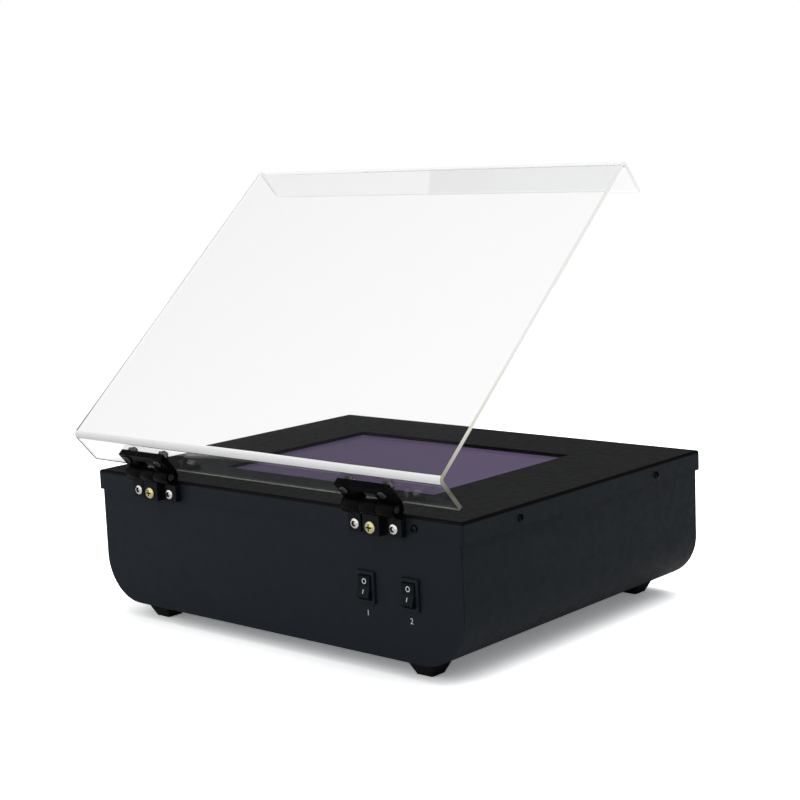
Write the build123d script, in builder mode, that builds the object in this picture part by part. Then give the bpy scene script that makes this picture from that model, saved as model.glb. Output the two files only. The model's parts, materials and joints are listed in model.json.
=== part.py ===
from build123d import *

import os
from math import radians, sin, sqrt, tan

# Low light box for a laboratory bench, with a clear lid hinged at its front.
# Millimetres. X runs along the front to the right, Y to the rear and Z up.
# The origin lies on the bench under the middle of the cover, and the lid stands open.

# Cabinet
cover_w = 340.0
cover_d = 270.0
cover_t = 1.2
cover_bend_r = 2.0
skirt_h = 14.0
side_overhang = 3.0
wrap_t = 1.2
panel_t = 1.5
panel_edge_r = 0.4
cabinet_h = 95.0
corner_r = 33.0
top_gap = 0.5
seam = 0.3
return_d = 12.0
fit_gap = 0.1
edge_cut = 3.0

# Window and filter
window_w = 198.0
window_d = 149.0
glass_margin = 6.0
glass_t = 4.0
glass_corner_r = 1.5
gasket_t = 1.3
frame_t = 1.2
frame_gap = 0.5
frame_flange = 7.0
frame_ledge = 8.5
stud_r = 1.5
stud_len = 8.0
stud_inset = 26.7

# Feet
foot_h = 11.0
foot_low = 13.2
foot_high = 23.6
foot_corner_r = 1.5
foot_side_inset = 10.0
foot_end_inset = 18.6
foot_recess_r = 4.6
foot_recess_h = 5.0

# Lid
lid_t = 3.0
lid_bend_r = 4.5
lid_rise = 28.7
lid_drop = 28.5
lid_angle = 41.7

# Hinges
hinge_inset = 66.5
hinge_rise = 3.8
barrel_len = 43.0
barrel_r = 5.4
leaf_t = 4.4
leaf_overhang = 0.5
back_gap = 0.6
screw_pitch = 32.0
screw_reach = 12.6
leaf_reach = 18.0
flap_window_w = 16.0
flap_window_top = 12.3
base_plate_t = 2.0
leaf_corner_r = 1.0
base_gap = 0.8
pad_w = 10.3
block_w = 13.5
block_d = 8.0
clamp_slit = 0.8
clamp_slit_y = 1.4
washer_t = 0.4
washer_gap = 0.05
washer_r = 4.9
pin_r = 2.5
pin_fit = 0.05
pin_inset = 1.2
barrel_recess_r = 3.75
barrel_recess_d = 2.2

# Fasteners
m3_r = 1.5
m3_head_r = 2.5
m3_head_h = 1.8
m4_r = 2.0
m4_head_r = 3.5
m4_head_h = 2.0
pan_head_r = 4.1
pan_head_h = 2.4
screw_clear = 0.2
thread_fit = 0.03
nut_w = 7.0
nut_h = 3.2
m3_nut_w = 5.5
m3_nut_h = 2.4
cap_nut_h = 2.6
dome_r = 2.9
dome_h = 2.2
dome_edge_r = 2.0
cover_screw_drop = 8.2
side_screw_inset = 57.5
end_screw_inset = 38.0
rivet_nut_r = 2.8
rivet_flange_r = 4.2
rivet_nut_len = 7.0

# Rocker switches
switch_w = 15.0
switch_h = 21.0
bezel_t = 2.0
bezel_corner_r = 0.8
power_switch_inset = 43.9
switch_pitch = 36.4
switch_z = 55.4
switch_body_w = 12.8
switch_body_h = 18.8
switch_body_d = 15.0
cutout_gap = 0.1
rocker_w = 10.0
rocker_r = 8.4
rocker_gap = 0.3
rocker_back = 3.5
rocker_crown = 4.2
rocker_dish = 8.0
rocker_tilt = 9.0
mouth_d = 1.2
mouth_h = 16.7
pivot_depth = 3.0
axle_r = 1.2
axle_fit = 0.05
axle_len = 1.1
blade_w = 4.8
blade_t = 0.8
blade_len = 7.0
blade_pitch = 9.0

# Rear panel fittings
inlet_inset = 74.0
inlet_z = 50.0
inlet_w = 48.0
inlet_h = 26.0
inlet_flange_t = 2.5
inlet_corner_r = 4.0
inlet_body_w = 28.0
inlet_body_h = 20.0
inlet_body_d = 22.0
socket_w = 24.4
socket_h = 16.4
socket_chamfer = 4.5
socket_d = 16.0
inlet_pin_w = 2.0
inlet_pin_h = 4.0
inlet_pin_len = 13.5
inlet_pin_pitch = 7.0
inlet_pin_drop = 2.0
inlet_screw_pitch = 40.0
fuse_pitch = 48.0
fuse_flange_r = 8.0
fuse_flange_t = 2.0
fuse_body_r = 6.2
fuse_body_d = 26.0
fuse_cap_r = 5.6
fuse_cap_h = 4.0
fuse_plug_r = 4.6
fuse_cap_seat = 8.0
fuse_ring_h = 3.0
vent_slot_len = 42.0
vent_slot_w = 3.2
vent_rows = 6
vent_row_pitch = 7.5
vent_columns = 2
vent_column_pitch = 50.0
vent_inset = 110.0
vent_z = 52.0

# Lamps
lamp_count = 6
lamp_row_inset = 57.0
lamp_r = 7.8
lamp_wall = 0.8
lamp_end_room = 21.8
lamp_cap_len = 8.0
lamp_cap_r = 8.0
lamp_pin_r = 1.15
lamp_pin_len = 7.0
lamp_pin_pitch = 5.0
lamp_axis_drop = 26.0
holder_t = 14.0
holder_w = 18.0
holder_rise = 9.0
holder_corner_r = 2.0
holder_gap = 0.35
holder_slot_w = 3.0
holder_slot_d = 8.5
holder_slot_drop = 4.5

# Lamp tray and reflector
tray_t = 1.2
tray_drop = 16.8
tray_side_gap = 6.8
tray_margin = 14.0
tray_leg_inset = 14.0
tray_foot = 12.0
tray_bolt_inset = 24.0
reflector_t = 0.6
reflector_end_gap = 6.0
reflector_flat = 10.0
reflector_ridge = 11.0
reflector_ridge_w = 2.0

# Ballasts and terminal block
ballast_inset = 25.0
ballast_d = 38.0
ballast_h = 26.0
ballast_corner_r = 2.0
ballast_y = 42.0
ballast_ear = 12.0
ballast_ear_t = 2.0
terminal_gap = 1.3
terminal_w = 44.0
terminal_d = 14.0
terminal_h = 17.0
terminal_step = 8.0
terminal_ways = 4
terminal_hole_r = 1.7

# Heights and faces that follow from the sizes above
floor_z = foot_h
top_z = foot_h + cabinet_h
under_z = top_z - cover_t
skirt_z = top_z - skirt_h
wall_z = under_z - top_gap
inside_z = floor_z + wrap_t
front_y = -cover_d / 2
panel_y = cover_d / 2 - cover_t
wrap_w = cover_w - 2 * side_overhang
wrap_y = panel_y - panel_t - seam
flat_x = wrap_w / 2 - corner_r
foot_x = flat_x - foot_side_inset
foot_y = panel_y - foot_end_inset
glass_w = window_w + 2 * glass_margin
glass_d = window_d + 2 * glass_margin
glass_z = under_z - gasket_t
ledge_z = glass_z - glass_t
hinge_x = cover_w / 2 - hinge_inset
hinge_z = top_z + hinge_rise
hinge_y = front_y - barrel_r - back_gap
leaf_y = front_y - leaf_t
barrel_half = barrel_len / 2
leaf_w = barrel_len + 2 * leaf_overhang
washer_pack = washer_t + 2 * washer_gap
base_screw_z = hinge_z - screw_reach
flap_screw_z = hinge_z + screw_reach
screw_xs = (-screw_pitch / 2, screw_pitch / 2)
cover_screw_z = top_z - cover_screw_drop
side_screw_y = cover_d / 2 - side_screw_inset
end_screw_x = cover_w / 2 - end_screw_inset
lamp_pitch = (cover_d - 2 * lamp_row_inset) / lamp_count
lamp_z = top_z - lamp_axis_drop
tray_z = lamp_z - tray_drop
lamp_len = wrap_w - 2 * wrap_t - 2 * lamp_end_room
reflector_w = lamp_len - 2 * reflector_end_gap
tray_w = wrap_w - 2 * wrap_t - 2 * tray_side_gap
tray_d = lamp_count * lamp_pitch + 2 * tray_margin
tray_leg_w = 2 * (flat_x - tray_leg_inset)
tray_bolt_x = tray_leg_w / 2 - tray_bolt_inset
ballast_w = tray_leg_w - 2 * ballast_inset
lamp_ys = [(i - (lamp_count - 1) / 2) * lamp_pitch for i in range(lamp_count)]
power_switch_x = cover_w / 2 - power_switch_inset
lamp_switch_x = power_switch_x - switch_pitch
inlet_x = cover_w / 2 - inlet_inset
fuse_x = inlet_x - fuse_pitch
vent_x = vent_inset - cover_w / 2
terminal_x = inlet_x
terminal_y = panel_y - panel_t - return_d - terminal_gap - terminal_d / 2
bezel_y = -panel_y - bezel_t
pivot_y = bezel_y + pivot_depth

# The lid and all that rides on it is drawn closed, and this turns it open about the hinge axis
swing = Location((0, hinge_y, hinge_z), (lid_angle, 0, 0)) * Location((0, -hinge_y, -hinge_z))

os.makedirs("parts", exist_ok=True)


def keep(piece, node):
    """Labels a finished piece and writes its file."""
    piece.part.label = node
    export_step(piece.part, "parts/" + node + ".step")


def upright(y):
    """Plane at a given Y that faces the front, with X to the right and Z up."""
    return Plane.XZ.offset(-y)


def sideways(x):
    """Plane at a given X that faces the right, with Y and Z as its axes."""
    return Plane.YZ.offset(x)


def level(z):
    """Plane at a given height that faces up."""
    return Plane.XY.offset(z)


def swung(plane):
    """A plane of the closed lid, moved to where the open lid holds it."""
    return Plane(swing * plane.location)


def section(width, low, high, radius, mode=Mode.ADD):
    """Face of the cabinet's section in the current sketch, its lower corners rounded."""
    half = width / 2
    with BuildLine() as outline:
        sides = FilletPolyline(
            (-half, high), (-half, low), (half, low), (half, high), radius=radius
        )
        Line(sides @ 1, sides @ 0)
    make_face(outline.edges(), mode=mode)


def ring(outer_w, outer_d, inner_w, inner_d, z, height):
    """Adds a rectangular ring to the current part."""
    with BuildSketch(level(z)) as profile:
        Rectangle(outer_w, outer_d)
        Rectangle(inner_w, inner_d, mode=Mode.SUBTRACT)
    extrude(profile.sketch, amount=height)


def drill(plane, points, radius, amount):
    """Cuts round holes from a plane, along its normal by the amount."""
    with BuildSketch(plane) as profile:
        with Locations(*points):
            Circle(radius)
    extrude(profile.sketch, amount=amount, mode=Mode.SUBTRACT)


def rods(plane, points, radius, amount):
    """Adds round rods to the current part, along a plane's normal by the amount."""
    with BuildSketch(plane) as profile:
        with Locations(*points):
            Circle(radius)
    extrude(profile.sketch, amount=amount)


def screws(plane, points, shank_r, shank_len, head_r, head_h):
    """Adds screws whose heads seat on a plane, each with its shank behind that plane."""
    rods(plane, points, head_r, head_h)
    rods(plane, points, shank_r, -shank_len)


def hex_nuts(plane, points, across, height, hole_r):
    """Adds plain hexagon nuts on a plane, along its normal by their height."""
    with BuildSketch(plane) as profile:
        with Locations(*points):
            RegularPolygon(across / 2, 6, major_radius=False)
            Circle(hole_r, mode=Mode.SUBTRACT)
    extrude(profile.sketch, amount=height)


inner_front = Plane(
    origin=(0, -panel_y + panel_t, 0), x_dir=(-1, 0, 0), z_dir=(0, 1, 0)
)
hinge_xs = (-hinge_x, hinge_x)
base_screw_points = [(hx + sx, base_screw_z) for hx in hinge_xs for sx in screw_xs]
flap_screw_points = [(hx + sx, flap_screw_z) for hx in hinge_xs for sx in screw_xs]
side_screw_points = [(y, cover_screw_z) for y in (-side_screw_y, side_screw_y)]
rear_screw_points = [(x, cover_screw_z) for x in (-end_screw_x, end_screw_x)]
front_screw_points = [(end_screw_x, cover_screw_z)]

# Top cover: folded tray with a window and a skirt all round
with BuildPart() as top_cover:
    with BuildSketch(level(skirt_z)):
        RectangleRounded(cover_w, cover_d, cover_bend_r)
    extrude(amount=skirt_h)
    fillet(top_cover.faces().sort_by(Axis.Z)[-1].edges(), radius=cover_bend_r)
    offset(amount=-cover_t, openings=top_cover.faces().sort_by(Axis.Z)[0])
    with BuildSketch(level(top_z)):
        Rectangle(window_w, window_d)
    extrude(amount=-edge_cut, mode=Mode.SUBTRACT)
    drill(upright(front_y), base_screw_points, m4_r + screw_clear, -edge_cut)
    drill(upright(front_y), front_screw_points, m3_r + screw_clear, -edge_cut)
    drill(upright(-front_y), rear_screw_points, m3_r + screw_clear, edge_cut)
    drill(sideways(cover_w / 2), side_screw_points, m3_r + screw_clear, -edge_cut)
    drill(sideways(-cover_w / 2), side_screw_points, m3_r + screw_clear, edge_cut)
keep(top_cover, "top_cover")

# Wrap: both sides and the bottom from one sheet
foot_points = [(x, y) for x in (-foot_x, foot_x) for y in (-foot_y, foot_y)]
tray_bolt_y = tray_d / 2 - tray_foot / 2
tray_bolt_points = [
    (x, y) for x in (-tray_bolt_x, tray_bolt_x) for y in (-tray_bolt_y, tray_bolt_y)
]
ballast_screw_x = ballast_w / 2 + ballast_ear / 2
ballast_screw_points = [
    (x, y)
    for x in (-ballast_screw_x, ballast_screw_x)
    for y in (-ballast_y, ballast_y)
]
terminal_screw_x = (terminal_w + terminal_ways * terminal_step) / 4
terminal_screw_points = [
    (terminal_x + x, terminal_y) for x in (-terminal_screw_x, terminal_screw_x)
]
with BuildPart() as wrap_shell:
    with BuildSketch(upright(wrap_y)):
        section(wrap_w, floor_z, wall_z, corner_r)
        section(
            wrap_w - 2 * wrap_t, inside_z, top_z, corner_r - wrap_t, mode=Mode.SUBTRACT
        )
    extrude(amount=2 * wrap_y)
    drill(level(floor_z), foot_points, m4_r + screw_clear, wrap_t)
    drill(level(floor_z), tray_bolt_points, m4_r + screw_clear, wrap_t)
    drill(level(floor_z), ballast_screw_points, m4_r + screw_clear, wrap_t)
    drill(level(floor_z), terminal_screw_points, m3_r + screw_clear, wrap_t)
    drill(sideways(wrap_w / 2), side_screw_points, rivet_nut_r + fit_gap, -edge_cut)
    drill(sideways(-wrap_w / 2), side_screw_points, rivet_nut_r + fit_gap, edge_cut)
keep(wrap_shell, "wrap_shell")


def end_panel(side):
    """Adds a front (-1) or rear (1) panel, its return nested inside the wrap."""
    inner_w = wrap_w - 2 * wrap_t - 2 * fit_gap
    inner_low = inside_z + fit_gap
    inner_r = corner_r - wrap_t - fit_gap
    with BuildSketch(upright(side * panel_y)) as plate:
        section(wrap_w, floor_z, wall_z, corner_r)
    extrude(plate.sketch, amount=side * panel_t)
    outer_face = faces().sort_by(Axis.Y)[0 if side < 0 else -1]
    fillet(outer_face.edges(), radius=panel_edge_r)
    with BuildSketch(upright(side * (panel_y - panel_t))) as flange:
        section(inner_w, inner_low, wall_z, inner_r)
        section(
            inner_w - 2 * panel_t,
            inner_low + panel_t,
            top_z,
            inner_r - panel_t,
            mode=Mode.SUBTRACT,
        )
    extrude(flange.sketch, amount=side * return_d)


# Front panel, with the openings of the switches
switch_xs = {"lamp": lamp_switch_x, "power": power_switch_x}
with BuildPart() as front_panel:
    end_panel(-1)
    with BuildSketch(upright(-panel_y)):
        with Locations(*[(x, switch_z) for x in switch_xs.values()]):
            Rectangle(switch_body_w + 2 * cutout_gap, switch_body_h + 2 * cutout_gap)
    extrude(amount=-edge_cut, mode=Mode.SUBTRACT)
    drill(upright(-panel_y), base_screw_points, m4_r + screw_clear, -edge_cut)
    drill(upright(-panel_y), front_screw_points, m3_r + screw_clear, -edge_cut)
keep(front_panel, "front_panel")

# Rear panel, with the inlet, the fuse and the vent slots
inlet_screw_points = [
    (inlet_x + x, inlet_z) for x in (-inlet_screw_pitch / 2, inlet_screw_pitch / 2)
]
with BuildPart() as rear_panel:
    end_panel(1)
    with BuildSketch(upright(panel_y)):
        with Locations((inlet_x, inlet_z)):
            Rectangle(inlet_body_w + 2 * cutout_gap, inlet_body_h + 2 * cutout_gap)
        with Locations((fuse_x, inlet_z)):
            Circle(fuse_body_r + cutout_gap)
        with Locations((vent_x, vent_z)):
            with GridLocations(vent_column_pitch, vent_row_pitch, vent_columns, vent_rows):
                SlotOverall(vent_slot_len, vent_slot_w)
    extrude(amount=edge_cut, mode=Mode.SUBTRACT)
    drill(upright(panel_y), inlet_screw_points, m3_r + screw_clear, edge_cut)
    drill(upright(panel_y), rear_screw_points, m3_r + screw_clear, edge_cut)
keep(rear_panel, "rear_panel")

# Rubber feet: tapered squares with a recess for the screw
for place, (x, y) in zip(
    ("front_left", "rear_left", "front_right", "rear_right"), foot_points
):
    with BuildPart() as rubber_foot:
        with BuildSketch(level(0)):
            with Locations((x, y)):
                RectangleRounded(foot_low, foot_low, foot_corner_r)
        with BuildSketch(level(foot_h)):
            with Locations((x, y)):
                RectangleRounded(foot_high, foot_high, foot_corner_r)
        loft()
        drill(level(0), [(x, y)], foot_recess_r, foot_recess_h)
        drill(level(0), [(x, y)], m4_r + screw_clear, foot_h)
    keep(rubber_foot, "foot_" + place)

with BuildPart() as foot_screws:
    shank = foot_h - foot_recess_h + wrap_t + nut_h
    screws(
        Plane(origin=(0, 0, foot_recess_h), x_dir=(1, 0, 0), z_dir=(0, 0, -1)),
        [(x, -y) for x, y in foot_points],
        m4_r,
        shank,
        pan_head_r,
        pan_head_h,
    )
keep(foot_screws, "foot_screws")

with BuildPart() as floor_nuts:
    hex_nuts(level(inside_z), foot_points, nut_w, nut_h, m4_r + thread_fit)
    hex_nuts(
        level(inside_z + tray_t), tray_bolt_points, nut_w, nut_h, m4_r + thread_fit
    )
keep(floor_nuts, "floor_nuts")

# Cover screws, with rivet nuts that fill the gap beside the side walls
side_gap = cover_w / 2 - cover_t - wrap_w / 2
side_shank = cover_t + side_gap + rivet_nut_len
panel_shank = cover_t + panel_t + m3_nut_h
rear_plane = Plane(origin=(0, -front_y, 0), x_dir=(-1, 0, 0), z_dir=(0, 1, 0))
left_plane = Plane(origin=(-cover_w / 2, 0, 0), x_dir=(0, -1, 0), z_dir=(-1, 0, 0))
with BuildPart() as cover_screws:
    head = (m3_head_r, m3_head_h)
    screws(sideways(cover_w / 2), side_screw_points, m3_r, side_shank, *head)
    screws(left_plane, side_screw_points, m3_r, side_shank, *head)
    screws(upright(front_y), front_screw_points, m3_r, panel_shank, *head)
    screws(rear_plane, rear_screw_points, m3_r, panel_shank, *head)
keep(cover_screws, "cover_screws")

with BuildPart() as rivet_nuts:
    for side in (-1, 1):
        for y, z in side_screw_points:
            flange_x = side * wrap_w / 2
            with BuildSketch(sideways(flange_x)):
                with Locations((y, z)):
                    Circle(rivet_flange_r)
            extrude(amount=side * side_gap)
            with BuildSketch(sideways(flange_x)):
                with Locations((y, z)):
                    Circle(rivet_nut_r)
            extrude(amount=-side * rivet_nut_len)
            with BuildSketch(sideways(flange_x + side * side_gap)):
                with Locations((y, z)):
                    Circle(m3_r + thread_fit)
            extrude(amount=-side * (side_gap + rivet_nut_len), mode=Mode.SUBTRACT)
keep(rivet_nuts, "rivet_nuts")

with BuildPart() as panel_nuts:
    m3_nut = (m3_nut_w, m3_nut_h, m3_r + thread_fit)
    hex_nuts(inner_front, [(-x, z) for x, z in front_screw_points], *m3_nut)
    hex_nuts(upright(panel_y - panel_t), rear_screw_points + inlet_screw_points, *m3_nut)
keep(panel_nuts, "panel_nuts")

# Filter: gasket, glass and the frame that hangs under the cover
with BuildPart() as filter_gasket:
    ring(glass_w, glass_d, window_w, window_d, glass_z, gasket_t)
keep(filter_gasket, "filter_gasket")

with BuildPart() as filter_glass:
    with BuildSketch(level(ledge_z)):
        RectangleRounded(glass_w, glass_d, glass_corner_r)
    extrude(amount=glass_t)
keep(filter_glass, "filter_glass")

frame_in_w = glass_w + 2 * frame_gap
frame_in_d = glass_d + 2 * frame_gap
frame_out_w = frame_in_w + 2 * frame_t
frame_out_d = frame_in_d + 2 * frame_t
stud_x = frame_out_w / 2 + frame_flange / 2
stud_y = frame_out_d / 2 + frame_flange / 2
stud_pitch = frame_out_w / 2 - stud_inset
stud_points = [(x * stud_pitch, side * stud_y) for x in (-1, 0, 1) for side in (-1, 1)]
stud_points += [(-stud_x, 0), (stud_x, 0)]
with BuildPart() as filter_frame:
    ring(
        frame_out_w + 2 * frame_flange,
        frame_out_d + 2 * frame_flange,
        frame_in_w,
        frame_in_d,
        under_z - frame_t,
        frame_t,
    )
    ring(frame_out_w, frame_out_d, frame_in_w, frame_in_d, ledge_z, under_z - ledge_z)
    ring(
        frame_out_w,
        frame_out_d,
        glass_w - 2 * frame_ledge,
        glass_d - 2 * frame_ledge,
        ledge_z - frame_t,
        frame_t,
    )
    drill(level(under_z), stud_points, stud_r + screw_clear, -frame_t)
keep(filter_frame, "filter_frame")

with BuildPart() as filter_studs:
    rods(level(under_z), stud_points, stud_r, -stud_len)
keep(filter_studs, "filter_studs")

with BuildPart() as filter_nuts:
    hex_nuts(
        level(under_z - frame_t), stud_points, m3_nut_w, -m3_nut_h, stud_r + thread_fit
    )
keep(filter_nuts, "filter_nuts")

# Lid: one clear sheet, bent down at the hinge end and at the far end
lid_y = front_y + cover_d
lid_z = hinge_z + lid_rise
lid_low = lid_z - lid_drop
with BuildPart() as lid_panel:
    with BuildSketch(swung(sideways(-cover_w / 2))):
        with BuildLine():
            outer = FilletPolyline(
                (front_y, lid_low),
                (front_y, lid_z),
                (lid_y, lid_z),
                (lid_y, lid_low),
                radius=lid_bend_r,
            )
            inner = FilletPolyline(
                (front_y + lid_t, lid_low),
                (front_y + lid_t, lid_z - lid_t),
                (lid_y - lid_t, lid_z - lid_t),
                (lid_y - lid_t, lid_low),
                radius=lid_bend_r - lid_t,
            )
            Line(outer @ 0, inner @ 0)
            Line(outer @ 1, inner @ 1)
        make_face()
    extrude(amount=cover_w)
    drill(swung(upright(front_y)), flap_screw_points, m4_r + screw_clear, -lid_t)
keep(lid_panel, "lid_panel")

lid_nut_y = front_y + lid_t
with BuildPart() as lid_screws:
    screws(
        swung(upright(leaf_y)),
        flap_screw_points,
        m4_r,
        leaf_t + lid_t + cap_nut_h,
        m4_head_r,
        m4_head_h,
    )
keep(lid_screws, "lid_screws")

inward = Axis((0, 0, 0), -swung(upright(lid_nut_y)).z_dir)
with BuildPart() as lid_nuts:
    with BuildSketch(swung(upright(lid_nut_y))):
        with Locations(*flap_screw_points):
            RegularPolygon(nut_w / 2, 6, major_radius=False)
    extrude(amount=-cap_nut_h)
    rods(swung(upright(lid_nut_y + cap_nut_h)), flap_screw_points, dome_r, -dome_h)
    fillet(lid_nuts.edges().group_by(inward)[-1], radius=dome_edge_r)
    drill(swung(upright(lid_nut_y)), flap_screw_points, m4_r + thread_fit, -cap_nut_h)
keep(lid_nuts, "lid_nuts")

# Hinges: base with the middle knuckle, flap with the outer knuckles, pin and washers
knuckle_half = block_w / 2
base_top_z = hinge_z - barrel_r - base_gap
base_low_z = hinge_z - leaf_reach
base_h = base_top_z - base_low_z
for place, hx in zip(("left", "right"), hinge_xs):
    with BuildPart() as hinge_base:
        with BuildSketch(upright(front_y)):
            with Locations((hx, base_low_z + base_h / 2)):
                RectangleRounded(leaf_w, base_h, leaf_corner_r)
        extrude(amount=base_plate_t)
        with BuildSketch(upright(front_y)):
            for side in (-1, 1):
                with Locations(
                    (hx + side * (leaf_w - pad_w) / 2, base_low_z + base_h / 2)
                ):
                    RectangleRounded(pad_w, base_h, leaf_corner_r)
        extrude(amount=leaf_t)
        with BuildSketch(upright(front_y)):
            with Locations((hx, (base_low_z + hinge_z - back_gap) / 2)):
                Rectangle(block_w, hinge_z - back_gap - base_low_z)
        extrude(amount=block_d)
        with BuildSketch(sideways(hx - knuckle_half)):
            with Locations((hinge_y, hinge_z)):
                Circle(barrel_r)
        extrude(amount=block_w)
        drill(
            sideways(hx - knuckle_half), [(hinge_y, hinge_z)], pin_r + pin_fit, block_w
        )
        with BuildSketch(sideways(hx - knuckle_half)):
            with Locations((hinge_y + clamp_slit_y, hinge_z - leaf_reach / 2)):
                Rectangle(clamp_slit, leaf_reach)
        extrude(amount=block_w, mode=Mode.SUBTRACT)
        drill(
            upright(front_y),
            [(hx + sx, base_screw_z) for sx in screw_xs],
            m4_r + screw_clear,
            leaf_t,
        )
        drill(upright(front_y), [(hx, base_screw_z)], m4_r + thread_fit, block_d)
    keep(hinge_base, "hinge_base_" + place)

    with BuildPart() as hinge_flap:
        with BuildSketch(swung(upright(front_y))):
            with Locations((hx, hinge_z + leaf_reach / 2)):
                RectangleRounded(leaf_w, leaf_reach, leaf_corner_r)
        extrude(amount=leaf_t)
        with BuildSketch(swung(sideways(hx - barrel_half))):
            with Locations((hinge_y, hinge_z)):
                Circle(barrel_r)
        extrude(amount=barrel_len)
        with BuildSketch(swung(upright(hinge_y - barrel_r))):
            with Locations((hx, hinge_z)):
                Rectangle(block_w + 2 * washer_pack, 2 * (barrel_r + back_gap))
            with Locations((hx, hinge_z + (barrel_r + back_gap + flap_window_top) / 2)):
                Rectangle(flap_window_w, flap_window_top - barrel_r - back_gap)
        extrude(amount=-(2 * barrel_r + back_gap), mode=Mode.SUBTRACT)
        drill(
            swung(sideways(hx - barrel_half)),
            [(hinge_y, hinge_z)],
            pin_r + pin_fit,
            barrel_len,
        )
        drill(
            swung(sideways(hx - barrel_half)),
            [(hinge_y, hinge_z)],
            barrel_recess_r,
            barrel_recess_d,
        )
        drill(
            swung(sideways(hx + barrel_half)),
            [(hinge_y, hinge_z)],
            barrel_recess_r,
            -barrel_recess_d,
        )
        drill(
            swung(upright(leaf_y)),
            [(hx + sx, flap_screw_z) for sx in screw_xs],
            m4_r + screw_clear,
            -leaf_t,
        )
    keep(hinge_flap, "hinge_flap_" + place)

    with BuildPart() as hinge_pin:
        rods(
            sideways(hx - barrel_half + pin_inset),
            [(hinge_y, hinge_z)],
            pin_r,
            barrel_len - 2 * pin_inset,
        )
    keep(hinge_pin, "hinge_pin_" + place)

with BuildPart() as hinge_washers:
    for hx in hinge_xs:
        for side in (-1, 1):
            face_x = hx + side * (knuckle_half + washer_gap)
            with BuildSketch(sideways(face_x)):
                with Locations((hinge_y, hinge_z)):
                    Circle(washer_r)
                    Circle(pin_r + pin_fit, mode=Mode.SUBTRACT)
            extrude(amount=side * washer_t)
keep(hinge_washers, "hinge_washers")

with BuildPart() as hinge_base_screws:
    screws(
        upright(leaf_y),
        base_screw_points,
        m4_r,
        leaf_t + cover_t + panel_t + nut_h,
        m4_head_r,
        m4_head_h,
    )
keep(hinge_base_screws, "hinge_base_screws")

with BuildPart() as hinge_base_nuts:
    nut_points = [(-x, z) for x, z in base_screw_points]
    hex_nuts(inner_front, nut_points, nut_w, nut_h, m4_r + thread_fit)
keep(hinge_base_nuts, "hinge_base_nuts")

with BuildPart() as torque_screws:
    screws(
        upright(front_y - block_d),
        [(hx, base_screw_z) for hx in hinge_xs],
        m4_r,
        block_d,
        pan_head_r,
        pan_head_h,
    )
keep(torque_screws, "torque_screws")

# Rocker switches
mouth_low = bezel_y + mouth_d
pocket_h = 2 * (rocker_r + rocker_gap)
pocket_w = rocker_w + 2 * rocker_gap
pocket_y = pivot_y + rocker_r * sin(radians(rocker_tilt)) + rocker_back + rocker_gap
dish = tan(radians(rocker_dish))
crown_end = (
    sqrt(rocker_r**2 * (1 + dish**2) - rocker_crown**2) - rocker_crown * dish
) / (1 + dish**2)
crown_lift = rocker_crown + crown_end * dish
back_half = sqrt(rocker_r**2 - rocker_back**2)
for name, sx in switch_xs.items():
    with BuildPart() as switch_body:
        with BuildSketch(upright(-panel_y)):
            with Locations((sx, switch_z)):
                RectangleRounded(switch_w, switch_h, bezel_corner_r)
        extrude(amount=bezel_t)
        chamfer(switch_body.faces().sort_by(Axis.Y)[0].edges(), length=panel_edge_r)
        with BuildSketch(upright(-panel_y)):
            with Locations((sx, switch_z)):
                Rectangle(switch_body_w, switch_body_h)
        extrude(amount=-switch_body_d)
        with BuildSketch(upright(bezel_y)):
            with Locations((sx, switch_z)):
                Rectangle(pocket_w, mouth_h)
        extrude(amount=-(pocket_y - bezel_y), mode=Mode.SUBTRACT)
        with BuildSketch(upright(mouth_low)):
            with Locations((sx, switch_z)):
                Rectangle(pocket_w, pocket_h)
        extrude(amount=-(pocket_y - mouth_low), mode=Mode.SUBTRACT)
        drill(
            sideways(sx - switch_body_w / 2),
            [(pivot_y, switch_z)],
            axle_r + axle_fit,
            switch_body_w,
        )
    keep(switch_body, name + "_switch_body")

    turn = Location((0, pivot_y, switch_z), (-rocker_tilt, 0, 0))
    with BuildPart() as rocker:
        with BuildSketch(Plane(turn * sideways(sx - rocker_w / 2).location)):
            with BuildLine():
                face = Polyline(
                    (-crown_lift, -crown_end), (-rocker_crown, 0), (-crown_lift, crown_end)
                )
                back = Line((rocker_back, back_half), (rocker_back, -back_half))
                ThreePointArc(face @ 1, (0, rocker_r), back @ 0)
                ThreePointArc(back @ 1, (0, -rocker_r), face @ 0)
            make_face()
        extrude(amount=rocker_w)
        rods(
            sideways(sx - rocker_w / 2 - axle_len),
            [(pivot_y, switch_z)],
            axle_r,
            rocker_w + 2 * axle_len,
        )
    keep(rocker, name + "_rocker")

with BuildPart() as switch_terminals:
    with BuildSketch(upright(-panel_y + switch_body_d)):
        for sx in switch_xs.values():
            with Locations((sx, switch_z)):
                with GridLocations(blade_w, blade_pitch, 1, 2):
                    Rectangle(blade_w, blade_t)
    extrude(amount=-blade_len)
keep(switch_terminals, "switch_terminals")

# Mains inlet, its pins and its screws
flange_y = panel_y + inlet_flange_t
with BuildPart() as mains_inlet:
    with BuildSketch(upright(flange_y)):
        with Locations((inlet_x, inlet_z)):
            RectangleRounded(inlet_w, inlet_h, inlet_corner_r)
    extrude(amount=inlet_flange_t)
    with BuildSketch(upright(panel_y)):
        with Locations((inlet_x, inlet_z)):
            Rectangle(inlet_body_w, inlet_body_h)
    extrude(amount=inlet_body_d)
    with BuildSketch(upright(flange_y)) as socket:
        with Locations((inlet_x, inlet_z)):
            Rectangle(socket_w, socket_h)
        chamfer(socket.vertices().group_by(Axis.Y)[-1], length=socket_chamfer)
    extrude(amount=socket_d, mode=Mode.SUBTRACT)
    drill(upright(flange_y), inlet_screw_points, m3_r + screw_clear, inlet_flange_t)
keep(mains_inlet, "mains_inlet")

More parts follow.
